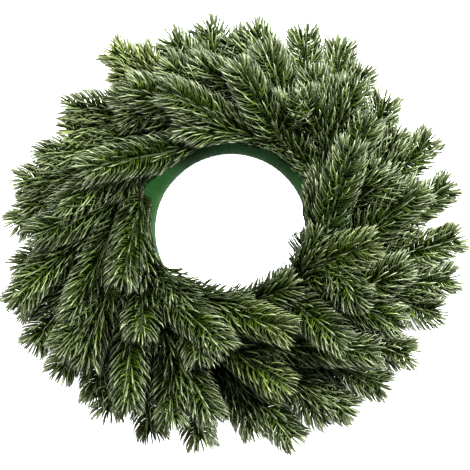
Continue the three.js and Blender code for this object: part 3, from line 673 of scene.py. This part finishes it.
def needle_mesh(lines, t, top, darkest, draw):
    """Four-sided needles that narrow to a point, with numbers for their colour."""
    count = len(lines)
    step = np.diff(lines, axis=1)
    along = unit(np.concatenate([step[:, :1], step[:, 1:] + step[:, :-1]], 1))
    level = unit(np.cross(along, UP) + 1e-6)
    steep = np.cross(level, along)
    roll = draw.normal(0, ROLL_JITTER, count)[:, None, None] * RAD
    size = draw.uniform(*SIZE_RANGE, count)[:, None, None]
    profile = np.array(NEEDLE_PROFILE)[None, :, None] * size / 2
    w = (level * np.cos(roll) + steep * np.sin(roll)) * profile * NEEDLE_WIDTH
    h = (steep * np.cos(roll) - level * np.sin(roll)) * profile * NEEDLE_THICKNESS
    middle = lines[:, :-1]
    rings = np.stack([middle + w, middle + h, middle - w, middle - h], 2)
    stations = len(NEEDLE_STATIONS)
    per = stations * NEEDLE_SIDES + 1
    points = np.concatenate([rings.reshape(count, -1, 3), lines[:, -1:]], 1).reshape(-1, 3)
    first = (np.arange(count) * per)[:, None, None]
    root = tuple(reversed(range(NEEDLE_SIDES)))
    quads = np.array([*sleeve(stations, NEEDLE_SIDES), root])[None] + first
    tip = np.array(fan((stations - 1) * NEEDLE_SIDES, NEEDLE_SIDES, per - 1))[None] + first
    look = np.zeros((count, per, 4))
    look[..., 0] = draw.uniform(darkest, 1, count)[:, None]
    look[..., 1] = np.concatenate([np.repeat(NEEDLE_STATIONS, NEEDLE_SIDES), [1.0]])
    look[..., 2] = t[:, None]
    look[..., 3] = top[:, None]
    return points, quads.reshape(-1, 4), tip.reshape(-1, 3), look.reshape(-1, 4)


def wood_mesh(points, draw, girth):
    """The woody stem with small leaf cushions, closed by a bud."""
    path = Path(points)
    even = np.linspace(0, path.total - BUD_START, int(path.total / WOOD_STEP))
    s = np.concatenate([even, path.total + BUD_PLACES])
    inside = np.minimum(s, path.total)
    tangent, side, up = path.axes(inside)
    centre = path.at(inside) + tangent * (s - inside)[:, None]
    radius = STEM_BUTT_RADIUS + (STEM_TIP_RADIUS - STEM_BUTT_RADIUS) * s / path.total
    radius[-len(BUD_RADII) :] = BUD_RADII
    radius[0] *= BUTT_SHARE
    radius *= girth
    corner = np.arange(WOOD_SIDES) * 360 / WOOD_SIDES
    angle = corner[None] + (np.arange(len(s)) * WOOD_TWIST)[:, None]
    swell = 1 + CUSHION * np.sin(angle * CUSHION_WAVES * RAD + s[:, None] * CUSHION_PACE)
    swell += draw.normal(0, CUSHION_JITTER, angle.shape)
    r = (radius[:, None] * swell)[..., None]
    angle = angle[..., None] * RAD
    rings = centre[:, None] + (side[:, None] * np.cos(angle) + up[:, None] * np.sin(angle)) * r
    end = centre[-1] + tangent[-1] * BUD_POINT
    points = np.concatenate([rings.reshape(-1, 3), [centre[0], end]])
    butt, tip = len(points) - 2, len(points) - 1
    triangles = [(b, a, c) for a, b, c in fan(0, WOOD_SIDES, butt)]
    triangles += fan((len(s) - 1) * WOOD_SIDES, WOOD_SIDES, tip)
    look = np.zeros((len(points), 4))
    look[:-2, 1] = np.repeat(s / path.total, WOOD_SIDES)
    look[-1, 1] = 1
    return points, np.array(sleeve(len(s), WOOD_SIDES)), np.array(triangles), look


def mesh_object(name, parts, materials):
    """One object from parts: points, quads, triangles, numbers for the colour, material slot."""
    points, corners, sizes, looks, slots = [], [], [], [], []
    start = 0
    for p, quads, triangles, look, slot in parts:
        points.append(p)
        looks.append(look)
        for faces in (quads, triangles):
            if len(faces):
                corners.append((faces + start).ravel())
                sizes.append(np.full(len(faces), faces.shape[1]))
                slots.append(np.full(len(faces), slot))
        start += len(p)
    points, corners = np.concatenate(points) * MM + CENTRE, np.concatenate(corners)
    sizes, slots = np.concatenate(sizes), np.concatenate(slots)
    me = bpy.data.meshes.new(name)
    me.vertices.add(len(points))
    me.vertices.foreach_set("co", points.astype(np.float32).ravel())
    me.loops.add(len(corners))
    me.loops.foreach_set("vertex_index", corners.astype(np.int32))
    me.polygons.add(len(sizes))
    me.polygons.foreach_set("loop_start", (np.cumsum(sizes) - sizes).astype(np.int32))
    me.polygons.foreach_set("material_index", slots.astype(np.int32))
    me.polygons.foreach_set("use_smooth", np.ones(len(sizes), bool))
    numbers = me.attributes.new("look", "FLOAT_COLOR", "POINT")
    numbers.data.foreach_set("color", np.concatenate(looks).astype(np.float32).ravel())
    me.update(calc_edges=True)
    me.validate()
    for each in materials:
        me.materials.append(each)
    ob = bpy.data.objects.new(name, me)
    bpy.context.scene.collection.objects.link(ob)
    return ob


# ---- ring ----


def bed(turn, out):
    """A place under the ring, by its angle and its distance from the ring's radius."""
    r = RING_RADIUS + out
    return np.array([r * math.cos(turn * RAD), r * math.sin(turn * RAD)])


def turn_at(i, up):
    """How far round the ring the wire is when its turn i has come to the angle up of the tube."""
    return WIRE_START + WIRE_PITCH * (i + (UNDERNEATH - up) / 360)


def grooves():
    """Where the wire lies under the ring: the two ends of each groove."""
    pairs = []
    before = bed(turn_at(0, WIRE_FIRST_FOOT), WIRE_FIRST_REACH)
    for i in range(WIRE_TURNS + 1):
        pairs.append((before, bed(turn_at(i, WIRE_INNER_FOOT), -WIRE_BED_REACH)))
        before = bed(turn_at(i, WIRE_OUTER_FOOT), WIRE_BED_REACH)
    foot, stub = (WIRE_RUN_DOWN + past for past in WIRE_LAST_GROOVE)
    pairs.append((bed(foot, WIRE_BED_REACH), bed(stub, WIRE_LAST_REACH)))
    return pairs


def tape_height(turn, up, lap):
    """The height of the tape's laps and creases."""
    edge = np.minimum(lap / LAP_EDGE, 1)
    rise = TAPE_STEP * (LAP_BASE * edge + (1 - LAP_BASE) * (1 - lap) * edge)
    slant = np.sin(up * 2 * RAD + turn * CREASE_SLANT * RAD)
    crease = CREASE * np.sin(turn * CREASE_WAVES * RAD + CREASE_TWIST * np.sin(up * RAD)) * slant
    crease += FINE_CREASE * np.sin(turn * FINE_WAVES * RAD + up * FINE_SLANT * RAD)
    return rise + crease


def groove_height(x, y):
    """How high the wire's grooves lift the flat underside at the points x, y."""
    height = np.zeros(x.shape)
    for a, b in grooves():
        run = b - a
        t = ((x - a[0]) * run[0] + (y - a[1]) * run[1]) / (run @ run)
        t = np.clip(t, -GROOVE_PAST, 1 + GROOVE_PAST)
        off = np.hypot(x - a[0] - t * run[0], y - a[1] - t * run[1])
        side = np.clip((GROOVE_HALF + GROOVE_RIM - off) / GROOVE_SOFT, 0, 1)
        height = np.maximum(height, side * GROOVE_DEPTH)
    return height


def ring_mesh():
    """The tube wrapped in laps of tape, flat underneath, with the wire's grooves."""
    turn = np.arange(RING_STEPS)[:, None] * 360 / RING_STEPS
    up = np.arange(TUBE_STEPS)[None] * 360 / TUBE_STEPS
    lap = (turn * TAPE_TURNS / 360 + up / 360) % 1
    d = TUBE_RADIUS - TAPE_STEP + tape_height(turn, up, lap)
    r = RING_RADIUS + d * np.cos(up * RAD)
    z = TUBE_HEIGHT + d * np.sin(up * RAD)
    # the flat underside keeps evenly spaced points across its width
    flat = math.degrees(math.asin(TUBE_HEIGHT / TUBE_RADIUS))
    half = math.sqrt(TUBE_RADIUS**2 - TUBE_HEIGHT**2)
    below = (up > 180 + flat) & (up < 360 - flat)
    across = RING_RADIUS - half + (up - 180 - flat) / (180 - 2 * flat) * 2 * half
    r = np.where(below, across, r)
    x, y = r * np.cos(turn * RAD), r * np.sin(turn * RAD)
    z = np.where(below, 0.0, np.maximum(z, 0.0))
    z = np.maximum(z, groove_height(x, y))
    points = np.stack([x, y, z], -1).reshape(-1, 3)
    i, j = np.meshgrid(np.arange(RING_STEPS), np.arange(TUBE_STEPS), indexing="ij")
    this, after = i * TUBE_STEPS, (i + 1) % RING_STEPS * TUBE_STEPS
    up_next = (j + 1) % TUBE_STEPS
    quads = np.stack([this + j, after + j, after + up_next, this + up_next], -1).reshape(-1, 4)
    look = np.zeros((len(points), 4))
    look[:, 1] = np.broadcast_to(lap, z.shape).ravel()
    return points, quads, np.zeros((0, 3), int), look


# ---- materials ----


def material(name):
    """A new material with its nodes, links and shader."""
    m = bpy.data.materials.new(name)
    m.use_nodes = True
    nodes, links = m.node_tree.nodes, m.node_tree.links
    return m, nodes, links, nodes["Principled BSDF"]


def add_node(nodes, kind, **settings):
    """A new node with its settings."""
    node = nodes.new(kind)
    for key, value in settings.items():
        setattr(node, key, value)
    return node


def look_parts(nodes, links):
    """The mesh's own numbers as four outputs."""
    attribute = add_node(nodes, "ShaderNodeAttribute", attribute_name="look")
    split = nodes.new("ShaderNodeSeparateColor")
    links.new(attribute.outputs["Color"], split.inputs["Color"])
    red, green, blue = (split.outputs[name] for name in ("Red", "Green", "Blue"))
    return red, green, blue, attribute.outputs["Alpha"]


def noise(nodes, links, scale, detail=3):
    """Even noise over the object's own coordinates."""
    place = nodes.new("ShaderNodeTexCoord")
    n = nodes.new("ShaderNodeTexNoise")
    n.inputs["Scale"].default_value = scale
    n.inputs["Detail"].default_value = detail
    n.inputs["Roughness"].default_value = NOISE_ROUGHNESS
    links.new(place.outputs["Object"], n.inputs["Vector"])
    return n.outputs["Fac"]


def ramp(nodes, links, value, stops):
    """The colours of the stops, by the value."""
    node = nodes.new("ShaderNodeValToRGB")
    bar = node.color_ramp
    while len(bar.elements) < len(stops):
        bar.elements.new(0.5)
    for element, (place, colour) in zip(bar.elements, stops):
        element.position = place
        element.color = (*colour, 1)
    links.new(value, node.inputs["Fac"])
    return node.outputs["Color"]


def mix(nodes, links, factor, a, b, blend="MIX"):
    """From a to b by the factor; each is a number, a colour or an output."""
    node = add_node(nodes, "ShaderNodeMix", data_type="RGBA", blend_type=blend)
    for value, socket in ((factor, MIX_FACTOR), (a, MIX_A), (b, MIX_B)):
        if isinstance(value, (int, float)):
            node.inputs[socket].default_value = value
        elif isinstance(value, tuple):
            node.inputs[socket].default_value = (*value, 1)
        else:
            links.new(value, node.inputs[socket])
    return node.outputs[MIX_RESULT]


def scaled(nodes, links, value, low, high, start=0.0, stop=1.0):
    """From low to high while the value goes from start to stop."""
    node = nodes.new("ShaderNodeMapRange")
    node.inputs["From Min"].default_value = start
    node.inputs["From Max"].default_value = stop
    node.inputs["To Min"].default_value = low
    node.inputs["To Max"].default_value = high
    links.new(value, node.inputs["Value"])
    return node.outputs["Result"]


def relief(nodes, links, shader, height, strength, distance):
    """Gives the shader fine relief."""
    node = nodes.new("ShaderNodeBump")
    node.inputs["Strength"].default_value = strength
    node.inputs["Distance"].default_value = distance
    links.new(height, node.inputs["Height"])
    links.new(node.outputs["Normal"], shader.inputs["Normal"])


def needle_material(name, tones, colours):
    """Rich green round the stem, greyer and paler towards the ends of the needles, a paleness that is
    painted sheen; painted shade darkens the needles that point down and those that hang over the hole.
    """
    root, middle, tip, old_and_shade = colours
    m, nodes, links, shader = material(name)
    draw, along, place, top = look_parts(nodes, links)
    # Painted sheen: the needles grow greyer and paler towards their ends.
    body = ramp(nodes, links, along, [(0.0, root), (0.3, root), (0.62, middle), (1.0, tip)])
    mottle = scaled(nodes, links, noise(nodes, links, scale=420), low=0, high=0.12, start=0.3, stop=0.75)
    mottled = mix(nodes, links, mottle, body, middle)
    light = ramp(nodes, links, draw, [(share, (tone, tone, tone)) for share, tone in tones])
    toned = mix(nodes, links, 1.0, mottled, light, "MULTIPLY")
    # Paler towards the end of the spray, where the needles are fresh; the pale tip colour that it mixes
    # in also adds painted sheen.
    freshness_and_sheen = scaled(nodes, links, place, low=0, high=0.22, start=0.7)
    fresh_and_sheened = mix(nodes, links, freshness_and_sheen, toned, tip)
    # Darker towards the butt of the stem, where the needles are older; the needles over the hole are
    # given an earlier place, so that here they also take painted shade.
    age_and_hung_shade = scaled(nodes, links, place, low=0.75, high=0, stop=0.75)
    aged_and_hung_shaded = mix(nodes, links, age_and_hung_shade, fresh_and_sheened, old_and_shade)
    # Painted shade: needles that point down, under the stem, are darkened towards the old colour.
    underside_shade = scaled(nodes, links, top, low=0.8, high=0, start=0.15, stop=0.6)
    under = mix(nodes, links, underside_shade, aged_and_hung_shaded, old_and_shade)
    patch = noise(nodes, links, scale=30, detail=2)
    patches = scaled(nodes, links, patch, low=0, high=0.35, start=0.42, stop=0.66)
    links.new(mix(nodes, links, patches, under, old_and_shade), shader.inputs["Base Color"])
    rough = scaled(nodes, links, along, low=0.5, high=0.3, start=0.2, stop=0.8)
    links.new(rough, shader.inputs["Roughness"])
    shader.inputs["Specular IOR Level"].default_value = 0.2
    grain = noise(nodes, links, scale=1500, detail=2)
    relief(nodes, links, shader, grain, strength=0.25, distance=0.0002)
    return m


def bark_material():
    """Dark olive wood, greener towards the tip."""
    m, nodes, links, shader = material("bark")
    along = look_parts(nodes, links)[1]
    wood = ramp(nodes, links, noise(nodes, links, scale=700, detail=4), WOOD)
    green = scaled(nodes, links, along, low=0, high=1, start=0.1, stop=0.45)
    links.new(mix(nodes, links, green, wood, GREEN_WOOD), shader.inputs["Base Color"])
    shader.inputs["Roughness"].default_value = 0.72
    grain = noise(nodes, links, scale=1100, detail=4)
    relief(nodes, links, shader, grain, strength=0.6, distance=0.0006)
    return m


def tape_material():
    """Dark green with a darker edge to each lap, and a little faded in spots."""
    m, nodes, links, shader = material("tape")
    lap = look_parts(nodes, links)[1]
    body = ramp(nodes, links, noise(nodes, links, scale=34), TAPE)
    edge = scaled(nodes, links, lap, low=0.5, high=0, stop=0.07)
    lapped = mix(nodes, links, edge, body, TAPE_EDGE)
    spot = noise(nodes, links, scale=160, detail=4)
    spots = scaled(nodes, links, spot, low=0, high=0.25, start=0.5, stop=0.8)
    links.new(mix(nodes, links, spots, lapped, TAPE_FADED), shader.inputs["Base Color"])
    rough = scaled(nodes, links, noise(nodes, links, scale=90), low=0.45, high=0.62, start=0.3, stop=0.7)
    links.new(rough, shader.inputs["Roughness"])
    shader.inputs["Specular IOR Level"].default_value = 0.08
    relief(nodes, links, shader, noise(nodes, links, scale=240), strength=0.35, distance=0.0004)
    return m


def wire_material():
    """Nearly black lacquer."""
    m, nodes, links, shader = material("lacquered_wire")
    coat = ramp(nodes, links, noise(nodes, links, scale=500), LACQUER)
    links.new(coat, shader.inputs["Base Color"])
    shader.inputs["Specular IOR Level"].default_value = 0.05
    rough = scaled(nodes, links, noise(nodes, links, scale=800, detail=2), low=0.55, high=0.75)
    links.new(rough, shader.inputs["Roughness"])
    return m


def floor_material():
    """Pale paper."""
    m, nodes, links, shader = material("pale_floor")
    shader.inputs["Emission Color"].default_value = (1, 1, 1, 1)
    shader.inputs["Emission Strength"].default_value = FLOOR_GLOW
    shade = ramp(nodes, links, noise(nodes, links, scale=3, detail=2), PAPER)
    links.new(shade, shader.inputs["Base Color"])
    shader.inputs["Roughness"].default_value = 0.9
    return m


# ---- studio ----


def add_light(name, size, power, azimuth):
    """A round lamp that shines at the middle of the wreath."""
    data = bpy.data.lights.new(name, "AREA")
    data.shape = "DISK"
    data.size = size
    data.energy = power
    light = bpy.data.objects.new(name, data)
    level = math.cos(LIGHT_ELEVATION * RAD)
    x, y = level * math.cos(azimuth * RAD), level * math.sin(azimuth * RAD)
    towards = Vector((x, y, math.sin(LIGHT_ELEVATION * RAD)))
    light.location = Vector(CENTRE) + towards * LIGHT_DISTANCE
    light.rotation_euler = towards.to_track_quat("Z", "Y").to_euler()
    bpy.context.scene.collection.objects.link(light)


def add_floor():
    bpy.ops.mesh.primitive_grid_add(
        x_subdivisions=FLOOR_PARTS,
        y_subdivisions=FLOOR_PARTS,
        size=FLOOR_SIZE,
        location=(CENTRE[0], CENTRE[1], -FLOOR_DROP),
    )
    floor = bpy.context.object
    floor.name = "floor"
    floor.data.materials.append(floor_material())


def add_studio():
    world = bpy.data.worlds.new("studio")
    bpy.context.scene.world = world
    world.use_nodes = True
    back = world.node_tree.nodes["Background"]
    back.inputs["Color"].default_value = (1, 1, 1, 1)
    back.inputs["Strength"].default_value = WORLD_STRENGTH
    for light in LIGHTS:
        add_light(*light)
    add_floor()
    bpy.context.scene.view_settings.view_transform = "Standard"
    bpy.context.scene.view_settings.look = "High Contrast"


# ---- the wreath ----


def wire_tree():
    """The binding wire's own solid, to look up what meets it."""
    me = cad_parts["binding_wire"].data
    points = [v.co.copy() for v in me.vertices]
    return BVHTree.FromPolygons(points, [tuple(p.vertices) for p in me.polygons])


def stem_parts(stem, wire, draw):
    """The wood and the needles of one stem or shoot, with their places in the list of materials."""
    lines, t, top = needle_lines(stem, draw)
    lines = keep_off(lines, draw)
    keep = clear_of_wire(lines, wire)
    wood = wood_mesh(stem["points"], draw, SHOOT_GIRTH if "shoot" in stem else 1.0)
    # Painted shade: needles that end over the hole take the darker colour of a place further back along
    # the stem.
    hung = np.hypot(lines[:, -1, 0], lines[:, -1, 1]) < HUNG_REACH
    t = np.where(hung, t * HUNG_SHADE_PLACE, t)
    needles = needle_mesh(lines[keep], t[keep], top[keep], DARKEST[stem["row"][1]], draw)
    young = (stem["name"], stem["part"]) in YOUNG
    return [(*wood, BARK_SLOT), (*needles, YOUNG_SLOT if young else FIR_SLOT)]


def add_sprays():
    """Each spray of the source is one object, with its side twig and its shoots."""
    materials = [
        needle_material("fir_needles", FIR_TONES, FIR_COLOURS),
        bark_material(),
        needle_material("young_needles", YOUNG_TONES, YOUNG_COLOURS),
    ]
    wire = wire_tree()
    sprays = {}
    stems = lay_stems()
    for number, stem in enumerate(stems + side_shoots(stems)):
        draw = np.random.default_rng(FIRST_SEED + number)
        sprays.setdefault(stem["name"], []).extend(stem_parts(stem, wire, draw))
    for name, parts in sprays.items():
        piece = mesh_object(name + "_fir", parts, materials)
        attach(piece, "root")
        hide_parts(name)


def add_ring():
    ring = mesh_object("taped_ring", [(*ring_mesh(), 0)], [tape_material()])
    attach(ring, "root")
    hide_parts("ring_core")


add_camera()
add_sprays()
add_ring()
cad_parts["binding_wire"].material_slots[0].material = wire_material()
add_studio()
